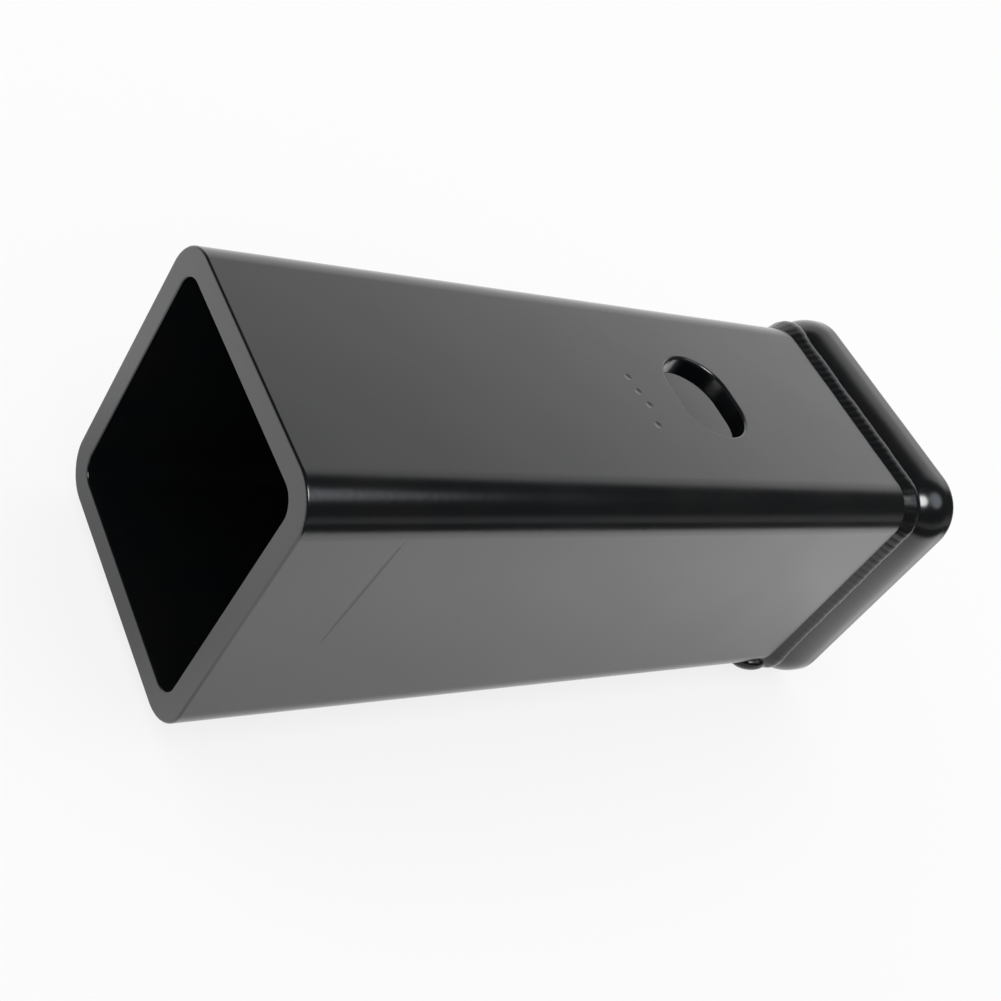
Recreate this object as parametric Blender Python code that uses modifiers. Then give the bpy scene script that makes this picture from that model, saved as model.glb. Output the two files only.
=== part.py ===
"""Hitch reducer sleeve: a square steel tube with a stop collar welded round its outer end.

The sleeve slides into a larger square receiver until the collar stops against the receiver's
mouth, and a smaller square shank slides into the sleeve. One pin goes through the receiver, the
sleeve's two slots and the shank. The sleeve lies along X on its side, with the plain end that
goes into the receiver at minus X, the collar at plus X, and the slots in its top and bottom
walls. The origin is on the ground under the middle of the sleeve's length.
"""

import math

import bmesh
import bpy
from mathutils import Matrix

MM = 0.001

# Square tube
TUBE_SIDE = 63.5 * MM
TUBE_LENGTH = 175.0 * MM
TUBE_WALL = 5.1 * MM
TUBE_CORNER_RADIUS = 8.3 * MM
BORE_CORNER_RADIUS = 4.2 * MM
END_EDGE_BREAK = 0.75 * MM
BORE_EDGE_BREAK = 0.35 * MM

# Pin slots, one through the top wall and one through the bottom wall
SLOT_FROM_PLAIN_END = 109.5 * MM
SLOT_WIDTH = 18.0 * MM
SLOT_HEIGHT = 23.0 * MM
SLOT_EDGE_BREAK = 0.4 * MM

# Stop collar, a bar with a crowned outer face bent round the end of the tube
COLLAR_WIDTH = 14.5 * MM
COLLAR_THICKNESS = 2.8 * MM
COLLAR_BEND_RADIUS = 7.5 * MM
COLLAR_CROWN = 1.5 * MM
COLLAR_CREST = 12.0 * MM
COLLAR_FRONT_EDGE_RADIUS = 0.7 * MM
COLLAR_REAR_EDGE_RADIUS = 1.6 * MM

# Weld bead in the corner between the tube and the front of the collar
WELD_TUBE_LEG = 2.1 * MM
WELD_COLLAR_LEG = 1.1 * MM
WELD_BULGE = 0.25 * MM
WELD_RIPPLE_PITCH = 2.6 * MM
WELD_RIPPLE_SHARE = 0.09

# The bead is fuller at two opposite corners, and at the low one it starts and ends in a lump
WELD_CORNER_FACTOR = 2.1
WELD_FULL_REACH = 4.5 * MM
LUMP_LENGTH = 12.0 * MM
LUMP_WIDTH = 9.0 * MM
LUMP_HEIGHT = 3.4 * MM
LUMP_FORWARD = 5.0 * MM
LUMP_ANGLE = 45

# Gap left between pieces that touch on the real sleeve
SEAT_GAP = 0.3 * MM

# How finely the round forms are divided
CORNER_STEPS = 12
SLOT_STEPS = 24
END_EDGE_STEPS = 2
SLOT_EDGE_STEPS = 1
COLLAR_EDGE_STEPS = 4
COLLAR_CROWN_STEPS = 8
WELD_FACE_STEPS = 5
WELD_POINTS_PER_RIPPLE = 4
LUMP_STEPS = 16
CUT_MARGIN = 5.0 * MM

# Edges flatter than the first angle lie inside a flat face, and edges past the second are sharp
FLAT_ANGLE = math.radians(1)
SHARP_ANGLE = math.radians(60)

# Places that follow from the sizes
HALF_SIDE = TUBE_SIDE / 2
COLLAR_HALF_SIDE = HALF_SIDE + SEAT_GAP + COLLAR_THICKNESS
AXIS_HEIGHT = COLLAR_HALF_SIDE
PLAIN_END_X = -TUBE_LENGTH / 2
COLLAR_FRONT_X = TUBE_LENGTH / 2 - COLLAR_WIDTH
WELD_BACK_X = COLLAR_FRONT_X - SEAT_GAP
LUMP_X = WELD_BACK_X - LUMP_FORWARD
SLOT_X = PLAIN_END_X + SLOT_FROM_PLAIN_END

# Turns a flat drawing so that its own Z runs along the sleeve, its X to plus Y and its Y up
ALONG_SLEEVE = Matrix(((0, 0, 1), (1, 0, 0), (0, 1, 0)))


def clear_scene():
    for old in list(bpy.data.objects):
        bpy.data.objects.remove(old, do_unlink=True)
    for old in list(bpy.data.collections):
        bpy.data.collections.remove(old)


def new_collection(name):
    collection = bpy.data.collections.new(name)
    bpy.context.scene.collection.children.link(collection)
    return collection


def coated_steel(name, colour, roughness):
    material = bpy.data.materials.new(name)
    material.use_nodes = True
    surface = material.node_tree.nodes["Principled BSDF"]
    surface.inputs["Base Color"].default_value = (*colour, 1.0)
    surface.inputs["Roughness"].default_value = roughness
    surface.inputs["Metallic"].default_value = 0.0
    return material


def rounded_square(half_side, radius, steps):
    """Points of a square with round corners, anticlockwise, each corner an arc of equal steps."""
    middle = half_side - radius
    points = []
    for corner, (side_x, side_y) in enumerate(((1, 1), (-1, 1), (-1, -1), (1, -1))):
        for step in range(steps + 1):
            angle = math.radians(90) * (corner + step / steps)
            points.append((side_x * middle + radius * math.cos(angle),
                           side_y * middle + radius * math.sin(angle)))
    return points


def round_ended_slot(width, height, steps):
    """Points of a slot along Y with half-round ends, anticlockwise."""
    radius = width / 2
    offset = (height - width) / 2
    points = []
    for side in (1, -1):
        for step in range(steps + 1):
            angle = math.radians(180) * step / steps
            points.append((side * radius * math.cos(angle),
                           side * (offset + radius * math.sin(angle))))
    return points


def add_closed_line(curve, points):
    line = curve.splines.new("POLY")
    line.points.add(len(points) - 1)
    for point, (x, y) in zip(line.points, points):
        point.co = (x, y, 0, 1)
    line.use_cyclic_u = True
    return line


def flat_curve(name, outlines):
    curve = bpy.data.curves.new(name, "CURVE")
    curve.dimensions = "2D"
    for points in outlines:
        add_closed_line(curve, points)
    return curve


def curve_to_mesh(curve_object, name, collection):
    """Replace a curve object by a mesh object of the same name and place, with its seams closed."""
    bpy.context.view_layer.update()
    depsgraph = bpy.context.evaluated_depsgraph_get()
    mesh = bpy.data.meshes.new_from_object(curve_object.evaluated_get(depsgraph))
    place = curve_object.matrix_world.copy()
    bpy.data.objects.remove(curve_object, do_unlink=True)
    shape = bmesh.new()
    shape.from_mesh(mesh)
    bmesh.ops.remove_doubles(shape, verts=shape.verts, dist=1e-6)
    bmesh.ops.recalc_face_normals(shape, faces=shape.faces)
    shape.to_mesh(mesh)
    shape.free()
    piece = bpy.data.objects.new(name, mesh)
    piece.matrix_world = place
    collection.objects.link(piece)
    return piece


def prism(name, outlines, length, collection):
    """Solid or hollow prism: the flat outlines drawn out along the object's own Z."""
    curve = flat_curve(name, outlines)
    curve.fill_mode = "BOTH"
    curve.extrude = length / 2
    drawn = bpy.data.objects.new(name, curve)
    collection.objects.link(drawn)
    return curve_to_mesh(drawn, name, collection)


def sweep(name, path, section, collection, guides, thickness_factors=None):
    """Carry a closed section of (out, along) points round a closed anticlockwise path."""
    inward_section = [(-out, along) for out, along in section]
    guide = bpy.data.objects.new(name + "_section", flat_curve(name + "_section", [inward_section]))
    guide.hide_render = True
    guide.display_type = "WIRE"
    guides.objects.link(guide)
    curve = flat_curve(name, [path])
    curve.bevel_mode = "OBJECT"
    curve.bevel_object = guide
    for index, factor in enumerate(thickness_factors or []):
        curve.splines[0].points[index].radius = factor
    drawn = bpy.data.objects.new(name, curve)
    collection.objects.link(drawn)
    return curve_to_mesh(drawn, name, collection)


def shade_round_faces(piece, sharp_angle):
    piece.data.shade_smooth()
    piece.data.set_sharp_from_angle(angle=math.radians(sharp_angle))


def clear_flat_faces(mesh):
    """Take out the edges that filling an outline leaves inside its flat faces."""
    shape = bmesh.new()
    shape.from_mesh(mesh)
    inner = [edge for edge in shape.edges if edge.calc_face_angle(0) < FLAT_ANGLE]
    bmesh.ops.dissolve_limit(shape, angle_limit=FLAT_ANGLE, use_dissolve_boundaries=False,
                             verts=[], edges=inner)
    shape.to_mesh(mesh)
    shape.free()


def mark_end_edges(mesh, half_length, bore_half_side):
    """Give the edges at both cut ends a bevel weight: full outside, less round the bore."""
    shape = bmesh.new()
    shape.from_mesh(mesh)
    weights = shape.edges.layers.float.new("bevel_weight_edge")
    reach = 1e-6
    for edge in shape.edges:
        if all(abs(abs(vert.co.z) - half_length) < reach for vert in edge.verts):
            at_bore = all(max(abs(vert.co.x), abs(vert.co.y)) < bore_half_side + reach
                          for vert in edge.verts)
            if len(edge.link_faces) == 2 and edge.calc_face_angle(0) > SHARP_ANGLE:
                edge[weights] = BORE_EDGE_BREAK / END_EDGE_BREAK if at_bore else 1.0
    shape.to_mesh(mesh)
    shape.free()


def make_tube(parts, cutters):
    """The square tube with round corners, broken end edges and the two pin slots."""
    bore_half_side = HALF_SIDE - TUBE_WALL
    outside = rounded_square(HALF_SIDE, TUBE_CORNER_RADIUS, CORNER_STEPS)
    bore = rounded_square(bore_half_side, BORE_CORNER_RADIUS, CORNER_STEPS)
    tube = prism("sleeve_tube", [outside, bore], TUBE_LENGTH, parts)
    tube.location = (0, 0, AXIS_HEIGHT)
    tube.rotation_euler = ALONG_SLEEVE.to_euler()
    clear_flat_faces(tube.data)
    mark_end_edges(tube.data, TUBE_LENGTH / 2, bore_half_side)

    end_break = tube.modifiers.new("end_edge_break", "BEVEL")
    end_break.limit_method = "WEIGHT"
    end_break.width = END_EDGE_BREAK
    end_break.segments = END_EDGE_STEPS
    end_break.use_clamp_overlap = False

    slot = prism("pin_slot_cutter", [round_ended_slot(SLOT_WIDTH, SLOT_HEIGHT, SLOT_STEPS)],
                 TUBE_SIDE + 2 * CUT_MARGIN, cutters)
    slot.location = (SLOT_X, 0, AXIS_HEIGHT)
    slot.hide_render = True
    slot.display_type = "WIRE"
    cut = tube.modifiers.new("pin_slots", "BOOLEAN")
    cut.operation = "DIFFERENCE"
    cut.solver = "EXACT"
    cut.object = slot

    slot_break = tube.modifiers.new("slot_edge_break", "BEVEL")
    slot_break.limit_method = "ANGLE"
    slot_break.angle_limit = SHARP_ANGLE
    slot_break.width = SLOT_EDGE_BREAK
    slot_break.segments = SLOT_EDGE_STEPS

    shade_round_faces(tube, 30)
    tube.data.materials.append(coated_steel("tube_black_coat", (0.012, 0.012, 0.013), 0.28))
    return tube


def arc(centre, radius, start, end, steps):
    """Points of an arc, its angles in degrees."""
    points = []
    for step in range(steps + 1):
        angle = math.radians(start + (end - start) * step / steps)
        points.append((centre[0] + radius * math.cos(angle),
                       centre[1] + radius * math.sin(angle)))
    return points


def collar_outer_height(along):
    """Height of the collar's outer face above its seat, at a place along its width."""
    far_side = max(COLLAR_CREST, COLLAR_WIDTH - COLLAR_CREST)
    return COLLAR_THICKNESS - COLLAR_CROWN * ((along - COLLAR_CREST) / far_side) ** 2


def collar_section():
    """Section of the collar's bar, out from its seat and along from its front to its rear."""
    front = COLLAR_FRONT_EDGE_RADIUS
    rear = COLLAR_REAR_EDGE_RADIUS
    rear_top = collar_outer_height(COLLAR_WIDTH - rear)
    front_top = collar_outer_height(front)
    points = [(0, 0), (0, COLLAR_WIDTH)]
    points += arc((rear_top - rear, COLLAR_WIDTH - rear), rear, 90, 0, COLLAR_EDGE_STEPS)
    for step in range(1, COLLAR_CROWN_STEPS):
        along = COLLAR_WIDTH - rear
        along += (front - along) * step / COLLAR_CROWN_STEPS
        points.append((collar_outer_height(along), along))
    points += arc((front_top - front, front), front, 0, -90, COLLAR_EDGE_STEPS)
    return points


def make_collar(parts, guides):
    """The stop collar, bent from one bar, its seat a gap clear of the tube all round."""
    path = rounded_square(HALF_SIDE + SEAT_GAP, COLLAR_BEND_RADIUS, CORNER_STEPS)
    collar = sweep("stop_collar", path, collar_section(), parts, guides)
    collar.location = (COLLAR_FRONT_X, 0, AXIS_HEIGHT)
    collar.rotation_euler = ALONG_SLEEVE.to_euler()
    shade_round_faces(collar, 40)
    collar.data.materials.append(coated_steel("collar_black_coat", (0.011, 0.011, 0.012), 0.26))
    return collar


def weld_section():
    """Section of the bead: a corner on the tube and the collar, closed by a slightly full face."""
    points = [(0, 0)]
    for step in range(WELD_FACE_STEPS + 1):
        share = step / WELD_FACE_STEPS
        bulge = WELD_BULGE * math.sin(math.pi * share)
        points.append((WELD_COLLAR_LEG * share + bulge,
                       -WELD_TUBE_LEG * (1 - share) - bulge))
    return points


def even_points_round(half_side, radius, spacing):
    """Points at an even spacing round a square with round corners, anticlockwise."""
    straight = 2 * (half_side - radius)
    quarter = math.radians(90) * radius
    perimeter = 4 * (straight + quarter)
    count = 4 * round(perimeter / spacing / 4)
    points = []
    for index in range(count):
        side, along = divmod(perimeter * index / count, straight + quarter)
        if along < straight:
            x = half_side
            y = along - straight / 2
        else:
            angle = (along - straight) / radius
            x = straight / 2 + radius * math.cos(angle)
            y = straight / 2 + radius * math.sin(angle)
        turn = math.radians(90) * side
        points.append((x * math.cos(turn) - y * math.sin(turn),
                       x * math.sin(turn) + y * math.cos(turn)))
    return points


def fullness(x, y):
    """How much the bead is swollen at a point of its path, most at two opposite corners."""
    corner = HALF_SIDE - TUBE_CORNER_RADIUS * (1 - math.sqrt(0.5))
    nearest = min(math.hypot(x - side * corner, y - side * corner) for side in (1, -1))
    return 1 + (WELD_CORNER_FACTOR - 1) * math.exp(-(nearest / WELD_FULL_REACH) ** 2)


def make_lump(cutters):
    """The lump where the bead starts and ends: a long drop, cut to sit on the tube's corner."""
    shape = bmesh.new()
    bmesh.ops.create_uvsphere(shape, u_segments=LUMP_STEPS, v_segments=LUMP_STEPS, radius=1)
    bmesh.ops.scale(shape, vec=(LUMP_LENGTH / 2, LUMP_HEIGHT, LUMP_WIDTH / 2), verts=shape.verts)
    everything = shape.verts[:] + shape.edges[:] + shape.faces[:]
    bmesh.ops.bisect_plane(shape, geom=everything, plane_co=(LUMP_FORWARD, 0, 0),
                           plane_no=(1, 0, 0), clear_outer=True)
    bmesh.ops.holes_fill(shape, edges=[edge for edge in shape.edges if edge.is_boundary])
    bmesh.ops.recalc_face_normals(shape, faces=shape.faces)
    mesh = bpy.data.meshes.new("weld_lump")
    shape.to_mesh(mesh)
    shape.free()

    lump = bpy.data.objects.new("weld_lump", mesh)
    angle = math.radians(180 + LUMP_ANGLE)
    bend_axis = HALF_SIDE - TUBE_CORNER_RADIUS
    reach = TUBE_CORNER_RADIUS + SEAT_GAP
    lump.location = (LUMP_X, reach * math.cos(angle) - bend_axis,
                     AXIS_HEIGHT + reach * math.sin(angle) - bend_axis)
    lump.rotation_euler = (angle, 0, 0)
    lump.hide_render = True
    lump.display_type = "WIRE"
    cutters.objects.link(lump)

    seat = prism("weld_lump_seat",
                 [rounded_square(HALF_SIDE + SEAT_GAP, TUBE_CORNER_RADIUS + SEAT_GAP, CORNER_STEPS)],
                 TUBE_LENGTH, cutters)
    seat.location = (0, 0, AXIS_HEIGHT)
    seat.rotation_euler = ALONG_SLEEVE.to_euler()
    seat.hide_render = True
    seat.display_type = "WIRE"
    cut = lump.modifiers.new("seat", "BOOLEAN")
    cut.operation = "DIFFERENCE"
    cut.solver = "EXACT"
    cut.object = seat
    return lump


def make_weld(parts, cutters):
    """The weld bead round the front of the collar, its ripples made by swelling the section."""
    spacing = WELD_RIPPLE_PITCH / WELD_POINTS_PER_RIPPLE
    path = even_points_round(HALF_SIDE + SEAT_GAP, TUBE_CORNER_RADIUS + SEAT_GAP, spacing)
    swell = []
    for index, (x, y) in enumerate(path):
        phase = index % WELD_POINTS_PER_RIPPLE / WELD_POINTS_PER_RIPPLE
        swell.append(fullness(x, y) * (1 - WELD_RIPPLE_SHARE * phase))
    weld = sweep("collar_weld", path, weld_section(), parts, cutters, swell)
    weld.location = (WELD_BACK_X, 0, AXIS_HEIGHT)
    weld.rotation_euler = ALONG_SLEEVE.to_euler()

    add = weld.modifiers.new("start_and_end_lump", "BOOLEAN")
    add.operation = "UNION"
    add.solver = "EXACT"
    add.object = make_lump(cutters)

    shade_round_faces(weld, 50)
    weld.data.materials.append(coated_steel("weld_black_coat", (0.013, 0.013, 0.014), 0.32))
    return weld


def main():
    clear_scene()
    parts = new_collection("hitch_reducer_sleeve")
    cutters = new_collection("cutters_and_guides")
    make_tube(parts, cutters)
    make_collar(parts, cutters)
    make_weld(parts, cutters)


main()
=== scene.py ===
"""The look of a hitch reducer sleeve: a square steel tube, a stop collar bent round its outer end
and the weld bead between them, all under one black gloss coat, on a pale floor in soft light."""

import math

import bpy
from mathutils import Euler, Matrix, Vector


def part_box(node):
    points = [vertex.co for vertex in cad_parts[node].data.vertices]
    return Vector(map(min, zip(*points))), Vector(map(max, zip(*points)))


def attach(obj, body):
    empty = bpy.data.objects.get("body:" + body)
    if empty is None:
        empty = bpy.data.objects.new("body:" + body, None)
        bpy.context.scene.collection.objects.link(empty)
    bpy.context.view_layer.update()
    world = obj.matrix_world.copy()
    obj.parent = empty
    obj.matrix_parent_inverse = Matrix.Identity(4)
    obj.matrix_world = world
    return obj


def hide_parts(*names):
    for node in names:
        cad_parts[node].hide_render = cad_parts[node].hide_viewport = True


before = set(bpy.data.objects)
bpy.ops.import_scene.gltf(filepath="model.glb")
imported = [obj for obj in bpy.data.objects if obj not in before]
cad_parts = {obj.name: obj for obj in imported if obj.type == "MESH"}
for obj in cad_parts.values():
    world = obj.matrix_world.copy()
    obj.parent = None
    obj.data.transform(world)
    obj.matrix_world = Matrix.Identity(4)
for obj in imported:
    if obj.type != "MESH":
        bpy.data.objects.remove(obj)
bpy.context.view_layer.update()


# The tube. Square steel tube, 63.5 mm outside with round corners, sawn square at both ends and
# deburred. A round-ended hole for the hitch pin is punched through its top and bottom walls. The
# top wall carries a row of plain punch marks beside the hole, and one side a short scribe line.
MM = 0.001
TUBE_LOW, TUBE_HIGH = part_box("sleeve_tube")
TUBE_SIDE = TUBE_HIGH.y - TUBE_LOW.y
TUBE_HALF = TUBE_SIDE / 2
AXIS_HEIGHT = (TUBE_HIGH.z + TUBE_LOW.z) / 2
TUBE_WALL = 5.1 * MM
TUBE_CORNER_RADIUS = 8.3 * MM
BORE_CORNER_RADIUS = 4.2 * MM
CORNER_STEPS = 24
END_EDGE_BREAK = 0.5 * MM
BORE_EDGE_BREAK = 0.3 * MM
SLOT_EDGE_BREAK = 0.7 * MM
SLOT_FROM_PLAIN_END = 109.5 * MM
SLOT_WIDTH = 18.0 * MM
SLOT_HEIGHT = 23.0 * MM
CUT_MARGIN = 5.0 * MM
SHARP_EDGE = math.radians(60)
MARK_PLACES = ((1.0, 3.8), (1.4, -0.3), (2.2, -4.0), (1.0, -9.6))
MARK_BALL = 3.5 * MM
MARK_DEPTH = 0.12 * MM
SCRIBE_MIDDLE = Vector((-68.05, 0, 44.4)) * MM
SCRIBE_TILT = math.radians(4.6)
SCRIBE_LENGTH = 33.0 * MM
SCRIBE_TOOL_RADIUS = 0.5 * MM
SCRIBE_DEPTH = 0.14 * MM
BALL_SEGMENTS = 32
BALL_RINGS = 24
EDGE_SEGMENTS = 4
COAT_IOR = 1.6
COAT_COOL = (0.0034, 0.0042, 0.0054, 1)
COAT_WARM = (0.0048, 0.0054, 0.0046, 1)
CAST_SCALE = 70.0
CAST_EDGE = (0.35, 0.7)
PATCH_SCALE = 45.0
PATCH_EDGE = (0.3, 0.75)
PATCH_DULLNESS = 0.06
PEEL_SCALE = 700.0
WAVE_SCALE = 38.0
TUBE_GLOSS = 0.17
TUBE_PEEL = 0.012 * MM
TUBE_WAVE = 0.09 * MM


class Value:
    """The output of a node, which Python's own operators can reckon with."""

    def __init__(self, graph, socket):
        self.graph = graph
        self.socket = socket

    def math(self, operation, *others):
        sockets = dict(enumerate((self, *others)))
        return self.graph.add("ShaderNodeMath", {"operation": operation}, sockets)

    def __add__(self, other):
        return self.math("ADD", other)

    def __sub__(self, other):
        return self.math("SUBTRACT", other)

    def __rsub__(self, other):
        return self * -1 + other

    def __mul__(self, other):
        return self.math("MULTIPLY", other)

    def __truediv__(self, other):
        return self.math("DIVIDE", other)

    def __pow__(self, other):
        return self.math("POWER", other)

    def __neg__(self):
        return self * -1

    def __abs__(self):
        return self.math("ABSOLUTE")

    __radd__ = __add__
    __rmul__ = __mul__

    def above(self, limit):
        return self.math("GREATER_THAN", limit)

    def rise(self, start, end):
        """0 up to start, 1 from end on, with a smooth rise between them."""
        settings = {"interpolation_type": "SMOOTHSTEP"}
        return self.graph.add("ShaderNodeMapRange", settings, {0: self, 1: start, 2: end})


class Graph:
    """A node tree, for a shape or for a finish, that is drawn one node at a time."""

    def __init__(self, tree):
        self.tree = tree

    def add(self, kind, settings=None, sockets=None, output=0):
        """Place one node: its settings first, then the values or links of its sockets."""
        node = self.tree.nodes.new(kind)
        for name, value in (settings or {}).items():
            setattr(node, name, value)
        for key, value in (sockets or {}).items():
            socket = node.inputs[key]
            for each in value if isinstance(value, list) else [value]:
                if isinstance(each, Value):
                    self.tree.links.new(each.socket, socket)
                else:
                    socket.default_value = each
        return Value(self, node.outputs[output])

    def vector(self, operation, *inputs, output=0):
        settings = {"operation": operation}
        return self.add("ShaderNodeVectorMath", settings, dict(enumerate(inputs)), output)

    def combine(self, x, y, z):
        return self.add("ShaderNodeCombineXYZ", None, {0: x, 1: y, 2: z})

    def along(self, vector, axis):
        """One coordinate of a vector: 0, 1 or 2 for X, Y or Z."""
        return self.add("ShaderNodeSeparateXYZ", None, {0: vector}, axis)

    def mix(self, share, first, second):
        """A mix of two colours, which the node takes at its inputs 6 and 7."""
        sockets = {0: share, 6: first, 7: second}
        return self.add("ShaderNodeMix", {"data_type": "RGBA"}, sockets, 2)

    def noise(self, place, scale, detail=2.0):
        sockets = {"Vector": place, "Scale": scale, "Detail": detail}
        return self.add("ShaderNodeTexNoise", None, sockets)


class Drawing(Graph):
    """A tree of geometry nodes with named sizes, and the piece that it draws."""

    def __init__(self, name, **sizes):
        super().__init__(bpy.data.node_groups.new(name, "GeometryNodeTree"))
        self.name = name
        self.tree.interface.new_socket("Geometry", in_out="OUTPUT", socket_type="NodeSocketGeometry")
        self.sizes = {}
        for title, size in sizes.items():
            socket = self.tree.interface.new_socket(title, in_out="INPUT", socket_type="NodeSocketFloat")
            self.sizes[title] = (socket.identifier, size)
        entry = self.tree.nodes.new("NodeGroupInput")
        self.size = {title: Value(self, entry.outputs[title]) for title in sizes}

    def outline(self, width, height, radius):
        """A rectangle with round corners, drawn flat and centred."""
        sides = {"Width": width, "Height": height}
        box = self.add("GeometryNodeCurvePrimitiveQuadrilateral", {"mode": "RECTANGLE"}, sides)
        corner = {"Curve": box, "Count": CORNER_STEPS, "Radius": radius}
        return self.add("GeometryNodeFilletCurve", {"mode": "POLY"}, corner)

    def bar(self, start, end, section):
        """A solid bar of one section between two points."""
        ends = {"Start": start, "End": end}
        line = self.add("GeometryNodeCurvePrimitiveLine", {"mode": "POINTS"}, ends)
        swept = {"Curve": line, "Profile Curve": section, "Fill Caps": True}
        return self.add("GeometryNodeCurveToMesh", None, swept)

    def cut(self, body, cutters):
        settings = {"operation": "DIFFERENCE", "solver": "EXACT"}
        return self.add("GeometryNodeMeshBoolean", settings, {"Mesh 1": body, "Mesh 2": cutters})

    def moved(self, body, offset):
        return self.add("GeometryNodeSetPosition", None, {"Geometry": body, "Offset": offset})

    def piece(self, body, material):
        """End the tree, with one material, and give the object that carries it."""
        whole = self.add("GeometryNodeRealizeInstances", None, {0: body})
        smooth = self.add("GeometryNodeSetShadeSmooth", None, {0: whole})
        coated = self.add("GeometryNodeSetMaterial", None, {"Geometry": smooth, "Material": material})
        leave = self.tree.nodes.new("NodeGroupOutput")
        self.tree.links.new(coated.socket, leave.inputs[0])
        carrier = bpy.data.objects.new(self.name, bpy.data.meshes.new(self.name))
        bpy.context.scene.collection.objects.link(carrier)
        drawn = carrier.modifiers.new("drawn", "NODES")
        drawn.node_group = self.tree
        for identifier, size in self.sizes.values():
            drawn[identifier] = size
        return carrier


def settle(piece, material):
    """Turn the drawn piece into a plain mesh of one material and take its modifiers off."""
    bpy.context.view_layer.update()
    depsgraph = bpy.context.evaluated_depsgraph_get()
    mesh = bpy.data.meshes.new_from_object(piece.evaluated_get(depsgraph))
    piece.modifiers.clear()
    blank = piece.data
    piece.data = mesh
    bpy.data.meshes.remove(blank)
    mesh.name = piece.name
    mesh.materials.clear()
    mesh.materials.append(material)


def black_coat(name, gloss, peel_height, wave_height, ior=COAT_IOR):
    """Black gloss coat on steel: fine orange peel over slow waves, and a faint cast in its black."""
    material = bpy.data.materials.new(name)
    material.use_nodes = True
    graph = Graph(material.node_tree)
    coat = material.node_tree.nodes["Principled BSDF"]
    coat.inputs["IOR"].default_value = ior
    place = graph.add("ShaderNodeTexCoord", output="Object")
    cast = graph.noise(place, CAST_SCALE, 3.0).rise(*CAST_EDGE)
    colour = graph.mix(cast, COAT_COOL, COAT_WARM)
    patches = graph.noise(place, PATCH_SCALE, 4.0).rise(*PATCH_EDGE)
    roughness = patches * PATCH_DULLNESS + gloss
    peel = graph.noise(place, PEEL_SCALE) * peel_height
    wave = graph.noise(place, WAVE_SCALE, 1.0) * wave_height
    relief = {"Height": peel + wave, "Distance": 1.0, "Strength": 1.0}
    bump = graph.add("ShaderNodeBump", None, relief)
    for title, value in (("Base Color", colour), ("Roughness", roughness), ("Normal", bump)):
        graph.tree.links.new(value.socket, coat.inputs[title])
    return material


tube_finish = black_coat("tube_finish", TUBE_GLOSS, TUBE_PEEL, TUBE_WAVE)
draw = Drawing("square_tube", side=TUBE_SIDE, wall=TUBE_WALL, corner=TUBE_CORNER_RADIUS,
               bore_corner=BORE_CORNER_RADIUS, slot_width=SLOT_WIDTH, slot_height=SLOT_HEIGHT)
bore_side = draw.size["side"] - draw.size["wall"] * 2
section = draw.outline(draw.size["side"], draw.size["side"], draw.size["corner"])
bore_section = draw.outline(bore_side, bore_side, draw.size["bore_corner"])
tube_start = Vector((TUBE_LOW.x, 0, AXIS_HEIGHT))
tube_end = Vector((TUBE_HIGH.x, 0, AXIS_HEIGHT))
past = Vector((CUT_MARGIN, 0, 0))
solid = draw.bar(tube_start, tube_end, section)
bore = draw.bar(tube_start - past, tube_end + past, bore_section)
slot_x = TUBE_LOW.x + SLOT_FROM_PLAIN_END
slot_section = draw.outline(draw.size["slot_width"], draw.size["slot_height"],
                            draw.size["slot_width"] / 2)
slot = draw.bar(Vector((slot_x, 0, TUBE_LOW.z - CUT_MARGIN)),
                Vector((slot_x, 0, TUBE_HIGH.z + CUT_MARGIN)), slot_section)

ball = draw.add("GeometryNodeMeshUVSphere", None,
                {"Segments": BALL_SEGMENTS, "Rings": BALL_RINGS, "Radius": 1.0})
marks = []
for x, y in MARK_PLACES:
    middle = Vector((x * MM, y * MM, TUBE_HIGH.z + MARK_BALL - MARK_DEPTH))
    dent = {"Geometry": ball, "Translation": middle, "Scale": Vector((1, 1, 1)) * MARK_BALL}
    marks.append(draw.add("GeometryNodeTransform", None, dent))
sunk = 1 - SCRIBE_DEPTH / SCRIBE_TOOL_RADIUS
scribe_tool = Vector((SCRIBE_TOOL_RADIUS, SCRIBE_TOOL_RADIUS,
                      SCRIBE_LENGTH / 2 / math.sqrt(1 - sunk ** 2)))
middle = SCRIBE_MIDDLE + Vector((0, TUBE_LOW.y - SCRIBE_TOOL_RADIUS * sunk, 0))
groove = {"Geometry": ball, "Translation": middle, "Rotation": Euler((0, SCRIBE_TILT, 0)),
          "Scale": scribe_tool}
scribe = draw.add("GeometryNodeTransform", None, groove)
hollow = draw.cut(solid, [bore, slot, *marks, scribe])

bend = draw.add("GeometryNodeInputMeshEdgeAngle")
where = draw.add("GeometryNodeInputPosition")
at_end = abs(draw.along(where, 0)).above(TUBE_HIGH.x - END_EDGE_BREAK / 2)
reach = abs(draw.along(where, 1)).math("MAXIMUM", abs(draw.along(where, 2) - AXIS_HEIGHT))
outside = reach.above(TUBE_HALF - TUBE_WALL / 2)
end_width = outside * END_EDGE_BREAK + (1 - outside) * BORE_EDGE_BREAK
width = at_end * end_width + (1 - at_end) * SLOT_EDGE_BREAK
widest = max(END_EDGE_BREAK, BORE_EDGE_BREAK, SLOT_EDGE_BREAK)
weight = {"Geometry": hollow, "Name": "bevel_weight_edge",
          "Value": bend.above(SHARP_EDGE) * width / widest}
settings = {"data_type": "FLOAT", "domain": "EDGE"}
marked = draw.add("GeometryNodeStoreNamedAttribute", settings, weight)
tube = draw.piece(marked, tube_finish)

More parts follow.
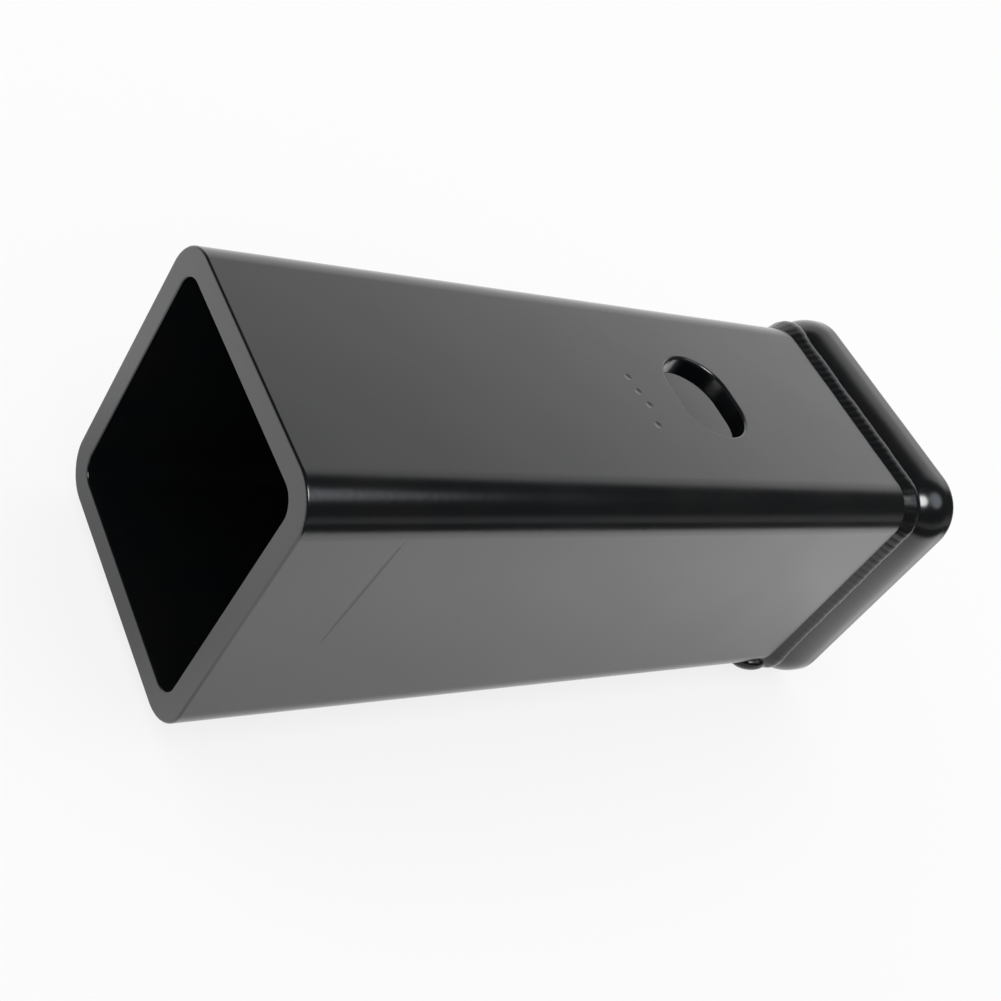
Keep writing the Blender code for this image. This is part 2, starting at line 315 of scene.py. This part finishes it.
edges = tube.modifiers.new("broken_edges", "BEVEL")
edges.limit_method = "WEIGHT"
edges.width = widest
edges.segments = EDGE_SEGMENTS
edges.use_clamp_overlap = False
flats = tube.modifiers.new("flat_faces", "WEIGHTED_NORMAL")
flats.mode = "FACE_AREA"
settle(tube, tube_finish)
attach(tube, "root")
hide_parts("sleeve_tube")


# The stop collar. One flat steel bar bent round the outer end of the tube until its ends meet. Its
# outer face falls in an arc to its front edge, where it is welded to the tube and coated with it.
COLLAR_LOW, COLLAR_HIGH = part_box("stop_collar")
COLLAR_FRONT_X = COLLAR_LOW.x
COLLAR_WIDTH = COLLAR_HIGH.x - COLLAR_LOW.x
COLLAR_THICKNESS = COLLAR_HIGH.y - TUBE_HIGH.y
COLLAR_BEND_RADIUS = 7.5 * MM
COLLAR_ARC_RADIUS = 12.0 * MM
COLLAR_CREST = 10.8 * MM
COLLAR_LEAST = 0.35 * MM
COLLAR_FRONT_EDGE_RADIUS = 0.6 * MM
COLLAR_REAR_EDGE_RADIUS = 1.7 * MM
COLLAR_SEAT_EDGE_RADIUS = 0.3 * MM
COLLAR_EDGE_STEPS = 8
SECTION_POINT_SPACING = 0.35 * MM
PATH_POINT_SPACING = 0.9 * MM
COLLAR_WAVE = 0.12 * MM
COLLAR_WAVE_SCALE = 55.0
COLLAR_FACING = (0.2, 0.8)
COLLAR_GLOSS = 0.15
COLLAR_PEEL = 0.010 * MM
COLLAR_COAT_WAVE = 0.06 * MM

# Turns what is drawn flat so that its own Z runs along the sleeve, its X to plus Y and its Y up
ALONG_SLEEVE = Matrix(((0, 0, 1), (1, 0, 0), (0, 1, 0))).to_euler()


def evenly(draw, curve, spacing):
    sockets = {"Curve": curve, "Length": spacing}
    return draw.add("GeometryNodeResampleCurve", {"mode": "LENGTH"}, sockets)


def carried_round(draw, path, section, scale=1.0):
    """A closed section carried round a flat closed path: its X points out and its Y forward."""
    upright = draw.add("GeometryNodeSetCurveNormal", {"mode": "Z_UP"}, {"Curve": path})
    swept = {"Curve": upright, "Profile Curve": section, "Scale": scale}
    return draw.add("GeometryNodeCurveToMesh", None, swept)


def placed_on_sleeve(draw, body, x):
    sockets = {"Geometry": body, "Translation": Vector((x, 0, AXIS_HEIGHT)), "Rotation": ALONG_SLEEVE}
    return draw.add("GeometryNodeTransform", None, sockets)


collar_finish = black_coat("collar_finish", COLLAR_GLOSS, COLLAR_PEEL, COLLAR_COAT_WAVE)
draw = Drawing("collar_bar", width=COLLAR_WIDTH, thickness=COLLAR_THICKNESS, crest=COLLAR_CREST,
               arc_radius=COLLAR_ARC_RADIUS, bend_radius=COLLAR_BEND_RADIUS, seat_side=TUBE_SIDE)
width = draw.size["width"]
thickness = draw.size["thickness"]
corners = {"Point 1": draw.combine(0, 0, 0), "Point 2": draw.combine(0, -width, 0),
           "Point 3": draw.combine(thickness, -width, 0), "Point 4": draw.combine(thickness, 0, 0)}
box = draw.add("GeometryNodeCurvePrimitiveQuadrilateral", {"mode": "POINTS"}, corners)
where = draw.add("GeometryNodeInputPosition")
is_outer = draw.along(where, 0).above(thickness / 2)
is_front = draw.along(where, 1).above(width / -2)
outer_radius = is_front * COLLAR_FRONT_EDGE_RADIUS + (1 - is_front) * COLLAR_REAR_EDGE_RADIUS
radius = is_outer * outer_radius + (1 - is_outer) * COLLAR_SEAT_EDGE_RADIUS
round_box = draw.add("GeometryNodeFilletCurve", {"mode": "POLY"},
                     {"Curve": box, "Count": COLLAR_EDGE_STEPS, "Radius": radius})
fine_box = evenly(draw, round_box, SECTION_POINT_SPACING)
ahead = (draw.along(where, 1) + draw.size["crest"]).math("MAXIMUM", 0)
arc = draw.size["arc_radius"]
arc_height = (arc ** 2 - ahead ** 2).math("MAXIMUM", 0).math("SQRT")
fall = (arc - arc_height).math("MINIMUM", thickness - COLLAR_LEAST)
crowned = draw.moved(fine_box, draw.combine(-fall * draw.along(where, 0) / thickness, 0, 0))
path = draw.outline(draw.size["seat_side"], draw.size["seat_side"], draw.size["bend_radius"])
collar = carried_round(draw, evenly(draw, path, PATH_POINT_SPACING), crowned)
unevenness = (draw.noise(where, COLLAR_WAVE_SCALE) - 0.5) * COLLAR_WAVE
outward = draw.vector("NORMALIZE", draw.combine(draw.along(where, 0), draw.along(where, 1), 0))
off_seat = draw.add("GeometryNodeInputNormal")
facing = draw.vector("DOT_PRODUCT", off_seat, outward, output="Value").rise(*COLLAR_FACING)
offset = draw.add("ShaderNodeVectorMath", {"operation": "SCALE"},
                  {0: outward, "Scale": (unevenness - COLLAR_WAVE / 2) * facing})
collar = draw.moved(collar, offset)
collar = draw.piece(placed_on_sleeve(draw, collar, COLLAR_FRONT_X), collar_finish)
flats = collar.modifiers.new("flat_faces", "WEIGHTED_NORMAL")
flats.mode = "FACE_AREA"
settle(collar, collar_finish)
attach(collar, "root")
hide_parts("stop_collar")


# The weld bead. One pass of wire weld from the tube up over the low front of the collar, rippled,
# fuller at two opposite corners, with a lump where it starts and ends. Its coat is thinner.
WELD_BACK_X = COLLAR_FRONT_X
WELD_TUBE_LEG = 2.6 * MM
WELD_COLLAR_LEG = 4.0 * MM
WELD_CROWN = 1.6 * MM
WELD_CREST = 1.3 * MM
WELD_SHOULDER = 0.9 * MM
WELD_SHOULDER_LEAN = 0.3 * MM
WELD_ROOT = 0.4 * MM
WELD_POINT_SPACING = 0.25 * MM
WELD_FACE_RADIUS = 3.0 * MM
WELD_SHOULDER_RADIUS = 1.2 * MM
WELD_EDGE_STEPS = 10
RIPPLE_PITCH = 1.9 * MM
RIPPLE_HEIGHT = 0.07 * MM
RIPPLE_LAG = 1.4
BEAD_RUN = 4 * (TUBE_SIDE - 2 * TUBE_CORNER_RADIUS) + 2 * math.pi * TUBE_CORNER_RADIUS
RIPPLE_COUNT = round(BEAD_RUN / RIPPLE_PITCH)
WELD_FULL_CORNER = 1.65
WELD_FULL_REACH = 4.5 * MM
LUMP_SIZE = Vector((10.0, 5.0, 9.0)) * MM
LUMP_FORWARD = 2.4 * MM
LUMP_ANGLE = math.radians(180 + 54)
LUMP_SEGMENTS = 64
LUMP_RINGS = 48
WELD_CELL = 0.25 * MM
WELD_FLOW = 0.5
WELD_FLOW_STEPS = 3
WELD_HAND = 0.35
WELD_HAND_SCALE = 120.0
WELD_COAT_IOR = 1.4
WELD_GLOSS = 0.20
WELD_PEEL = 0.016 * MM
WELD_WAVE = 0.05 * MM

weld_finish = black_coat("weld_finish", WELD_GLOSS, WELD_PEEL, WELD_WAVE, WELD_COAT_IOR)
draw = Drawing("weld_bead", tube_leg=WELD_TUBE_LEG, collar_leg=WELD_COLLAR_LEG, crown=WELD_CROWN,
               shoulder=WELD_SHOULDER, corner=TUBE_CORNER_RADIUS, side=TUBE_SIDE,
               ripple=RIPPLE_HEIGHT)
tube_leg = draw.size["tube_leg"]
collar_leg = draw.size["collar_leg"]
corners = {"Point 1": draw.combine(-WELD_ROOT, -collar_leg, 0),
           "Point 2": draw.combine(draw.size["shoulder"], WELD_SHOULDER_LEAN - collar_leg, 0),
           "Point 3": draw.combine(draw.size["crown"], -WELD_CREST, 0),
           "Point 4": draw.combine(-WELD_ROOT, tube_leg, 0)}
box = draw.add("GeometryNodeCurvePrimitiveQuadrilateral", {"mode": "POINTS"}, corners)
number = draw.add("GeometryNodeInputIndex")
radius = (number.math("COMPARE", 1, 0.5) * WELD_SHOULDER_RADIUS
          + number.math("COMPARE", 2, 0.5) * WELD_FACE_RADIUS)
face = draw.add("GeometryNodeFilletCurve", {"mode": "POLY"},
                {"Curve": box, "Count": WELD_EDGE_STEPS, "Radius": radius, "Limit Radius": True})
section = evenly(draw, face, WELD_POINT_SPACING)
path = evenly(draw, draw.outline(draw.size["side"], draw.size["side"], draw.size["corner"]),
              WELD_POINT_SPACING)
run = draw.add("GeometryNodeSplineParameter")
path = draw.add("GeometryNodeStoreNamedAttribute", {"data_type": "FLOAT", "domain": "POINT"},
                {"Geometry": path, "Name": "run", "Value": run})
where = draw.add("GeometryNodeInputPosition")
corner = TUBE_HALF - TUBE_CORNER_RADIUS * (1 - math.sqrt(0.5))
to_high = draw.vector("DISTANCE", where, Vector((corner, corner, 0)), output="Value")
to_low = draw.vector("DISTANCE", where, Vector((-corner, -corner, 0)), output="Value")
nearness = to_high.math("MINIMUM", to_low) / WELD_FULL_REACH
swell = (-(nearness ** 2)).math("EXPONENT") * (WELD_FULL_CORNER - 1) + 1
hand = (draw.noise(where, WELD_HAND_SCALE) - 0.5) * WELD_HAND + 1
bead = carried_round(draw, path, section, swell * hand)
forward = -draw.along(where, 2)
off_middle = (forward - tube_leg) / (tube_leg + collar_leg) + 0.5
run = draw.add("GeometryNodeInputNamedAttribute", {"data_type": "FLOAT"}, {"Name": "run"})
phase = run * RIPPLE_COUNT + off_middle ** 2 * RIPPLE_LAG
valley = 1 - abs((phase * math.pi).math("SINE"))
normal = draw.add("GeometryNodeInputNormal")
offset = draw.add("ShaderNodeVectorMath", {"operation": "SCALE"},
                  {0: normal, "Scale": -(valley ** 2) * draw.size["ripple"]})
bead = draw.moved(bead, offset)
bead = placed_on_sleeve(draw, bead, WELD_BACK_X)

ball = draw.add("GeometryNodeMeshUVSphere", None,
                {"Segments": LUMP_SEGMENTS, "Rings": LUMP_RINGS, "Radius": 1.0})
reach = Vector((0, math.cos(LUMP_ANGLE), math.sin(LUMP_ANGLE))) * TUBE_CORNER_RADIUS
bend_axis = Vector((0, 1, 1)) * (TUBE_HALF - TUBE_CORNER_RADIUS)
lump_place = Vector((WELD_BACK_X - LUMP_FORWARD, 0, AXIS_HEIGHT)) + reach - bend_axis
lump = draw.add("GeometryNodeTransform", None,
                {"Geometry": ball, "Translation": lump_place, "Rotation": Euler((LUMP_ANGLE, 0, 0)),
                 "Scale": LUMP_SIZE / 2})
joined = draw.add("GeometryNodeJoinGeometry", None, {0: [bead, lump]})
weld = draw.piece(joined, weld_finish)
skin = weld.modifiers.new("one_skin", "REMESH")
skin.mode = "VOXEL"
skin.voxel_size = WELD_CELL
skin.use_smooth_shade = True
flow = weld.modifiers.new("coat_flow", "SMOOTH")
flow.factor = WELD_FLOW
flow.iterations = WELD_FLOW_STEPS
settle(weld, weld_finish)
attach(weld, "root")
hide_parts("collar_weld")


# The studio. A pale floor that runs out of sight under white light from all round. The gloss
# mirrors a dim room with a white sweep, a low band of light and two soft lamps, and a floor whose
# glow it sees is painted: painted shade beside the sleeve, a painted brighter sheen on its minus Y
# side, and painted dimness from 0.2 m out on that side.
FLOOR_HALF = 6.0
FLOOR_WHITE = 0.92
FLOOR_GLOW = 0.8
FLOOR_MIRRORED = 0.6
# Glow strengths that the gloss sees on the floor: a painted sheen, painted shade beside the sleeve and
# painted brightening on the minus Y side, with painted dimness farther out on that side.
FLOOR_PAINTED_SHEEN = 1.45
FLOOR_PAINTED_SHADE = 0.75
SIDE_PAINTED_BRIGHTER = 0.50
SIDE_FROM = (0.0, 0.03)
PAINTED_SHADE_REACH = 0.045
PAINTED_DIM_SIDE = (0.11, 0.21)
SWEEP_AHEAD = Vector((0.65, 0.75, 0.10)).normalized()
SWEEP_EDGE = (0.57, 0.74)
SWEEP_LOW = 1.3
SWEEP_HIGH = 0.95
SWEEP_HEIGHTS = (0.38, 0.62)
HORIZON_LIGHT = 0.35
HORIZON_HEIGHTS = (0.10, 0.30)
ROOM_DIM = 0.06
LAMP_WAY = Vector((0.35, -0.41, 0.84)).normalized()
LAMP_EDGE = (0.945, 0.985)
LAMP_LIGHT = 2.1
LAMP_COLOUR = (0.86, 0.93, 1.0)
SPARK_WAY = Vector((-0.25, -0.41, 0.88)).normalized()
SPARK_EDGE = (0.965, 0.987)
SPARK_LIGHT = 15.0


def floor_finish():
    """Matt white that the camera and the gloss see brighter than the light makes it. The gloss sees
    it with painted shade beside the sleeve, a painted brighter sheen on the minus Y side and, from
    0.2 m out on that side, painted dimness as dim as the room."""
    material = bpy.data.materials.new("pale_floor")
    material.use_nodes = True
    graph = Graph(material.node_tree)
    graph.tree.nodes.remove(graph.tree.nodes["Principled BSDF"])
    matt = graph.add("ShaderNodeBsdfDiffuse", None, {"Color": (FLOOR_WHITE,) * 3 + (1,)})
    seen = graph.add("ShaderNodeLightPath", output="Is Camera Ray")
    mirrored = graph.add("ShaderNodeLightPath", output="Is Glossy Ray")
    place = graph.add("ShaderNodeTexCoord", output="Object")
    beyond_end = abs(graph.along(place, 0)) - TUBE_HIGH.x
    beyond_side = abs(graph.along(place, 1)) - TUBE_HALF
    # Painted shade on the floor as the gloss sees it, fading out within a few centimetres of the sleeve.
    painted_shade_fade = beyond_end.math("MAXIMUM", beyond_side).rise(0, PAINTED_SHADE_REACH)
    minus_side = -graph.along(place, 1)
    # The glow the gloss sees: painted shade beside the sleeve rising to a painted sheen, plus painted
    # brightening on the minus Y side.
    painted_sheen_near = (painted_shade_fade * (FLOOR_PAINTED_SHEEN - FLOOR_PAINTED_SHADE) + FLOOR_PAINTED_SHADE
            + minus_side.rise(*SIDE_FROM) * SIDE_PAINTED_BRIGHTER)
    # Painted dimness of the floor for the gloss, from 0.2 m out on the minus Y side.
    painted_dim = minus_side.rise(*PAINTED_DIM_SIDE)
    painted_sheen = painted_dim * (ROOM_DIM - painted_sheen_near) + painted_sheen_near
    strength = mirrored * painted_sheen + seen
    share = mirrored * (painted_dim * (1 - FLOOR_MIRRORED) + FLOOR_MIRRORED) + seen * FLOOR_GLOW
    glow = graph.add("ShaderNodeEmission", None, {"Color": (1, 1, 1, 1), "Strength": strength})
    mixed = graph.add("ShaderNodeMixShader", None, {0: share, 1: matt, 2: glow})
    graph.tree.links.new(mixed.socket, graph.tree.nodes["Material Output"].inputs["Surface"])
    return material


bpy.ops.mesh.primitive_plane_add(size=2 * FLOOR_HALF)
floor = bpy.context.object
floor.name = "floor"
floor.data.materials.append(floor_finish())

world = bpy.data.worlds.new("studio")
bpy.context.scene.world = world
world.use_nodes = True
air = Graph(world.node_tree)
way = air.add("ShaderNodeTexCoord", output="Generated")
height = air.along(way, 2)
horizon = (1 - height.rise(*HORIZON_HEIGHTS)) * (HORIZON_LIGHT - ROOM_DIM) + ROOM_DIM
sweep = air.vector("DOT_PRODUCT", way, SWEEP_AHEAD, output="Value").rise(*SWEEP_EDGE)
white = height.rise(*SWEEP_HEIGHTS) * (SWEEP_HIGH - SWEEP_LOW) + SWEEP_LOW
room = sweep * (white - horizon) + horizon
lamp = air.vector("DOT_PRODUCT", way, LAMP_WAY, output="Value").rise(*LAMP_EDGE)
spark = air.vector("DOT_PRODUCT", way, SPARK_WAY, output="Value").rise(*SPARK_EDGE)
mirrored = air.add("ShaderNodeLightPath", output="Is Glossy Ray")
strength = mirrored * (spark * SPARK_LIGHT + lamp * LAMP_LIGHT + room) + (1 - mirrored)
colour = air.mix(mirrored * lamp, (1, 1, 1, 1), (*LAMP_COLOUR, 1))
background = air.tree.nodes["Background"]
air.tree.links.new(colour.socket, background.inputs["Color"])
air.tree.links.new(strength.socket, background.inputs["Strength"])


# The camera, close to the open end and above it, rolled as the photograph is.
CAMERA_PLACE = Vector((-0.2060, -0.1497, 0.2067))
CAMERA_TARGET = Vector((0.0055, 0.0036, 0.0454))
CAMERA_ROLL = math.radians(38.61)
CAMERA_LENS = 51.3
CAMERA_SHIFT = (-0.0888, -0.0536)
CAMERA_NEAR = 0.01

camera_data = bpy.data.cameras.new("camera")
camera_data.lens = CAMERA_LENS
camera_data.shift_x, camera_data.shift_y = CAMERA_SHIFT
camera_data.clip_start = CAMERA_NEAR
camera = bpy.data.objects.new("camera", camera_data)
level = (CAMERA_TARGET - CAMERA_PLACE).to_track_quat("-Z", "Y").to_matrix()
camera.matrix_world = (Matrix.Translation(CAMERA_PLACE)
                       @ (level @ Matrix.Rotation(CAMERA_ROLL, 3, "Z")).to_4x4())
bpy.context.scene.collection.objects.link(camera)
bpy.context.scene.camera = camera
bpy.context.scene.view_settings.view_transform = "Standard"
